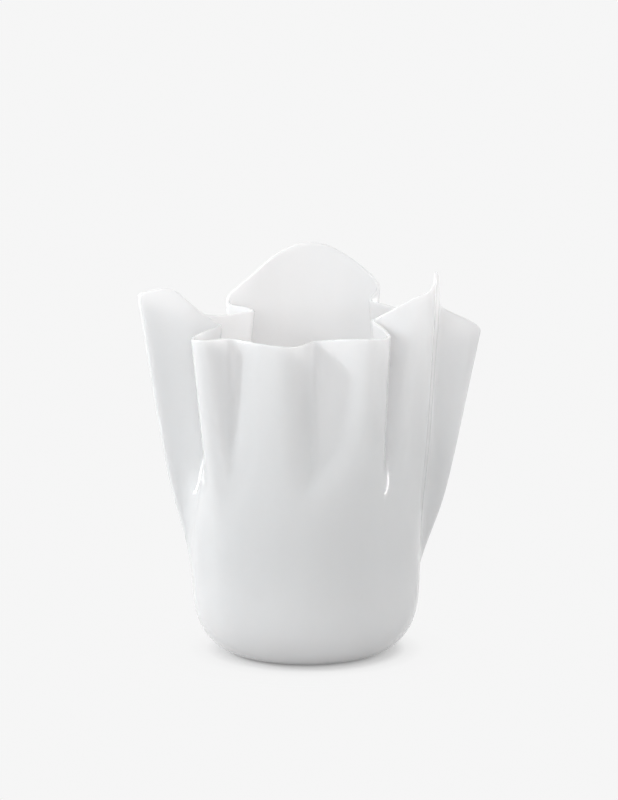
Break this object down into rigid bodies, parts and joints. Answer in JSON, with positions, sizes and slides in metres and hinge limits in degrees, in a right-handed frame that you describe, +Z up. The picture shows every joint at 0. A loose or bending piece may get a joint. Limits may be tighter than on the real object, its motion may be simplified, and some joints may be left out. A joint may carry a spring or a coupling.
{
  "type": "handkerchief vase",
  "caption": "Round-bodied vase of blown opal white glass whose wall rises into draped folds with pointed and rounded lobes, on a flat foot.",
  "frame": {"origin": "centre of the underside of the flat foot, on the axis of the round body", "axes": "+Z up along the body's axis, +X to the vase's right as the picture shows it, +Y away from the viewer"},
  "size_m": [0.239, 0.1682, 0.2776],
  "materials": {
    "opal_glass": "gloss"
  },
  "bodies": {
    "root": {"vase": "opal_glass"}
  },
  "joints": []
}
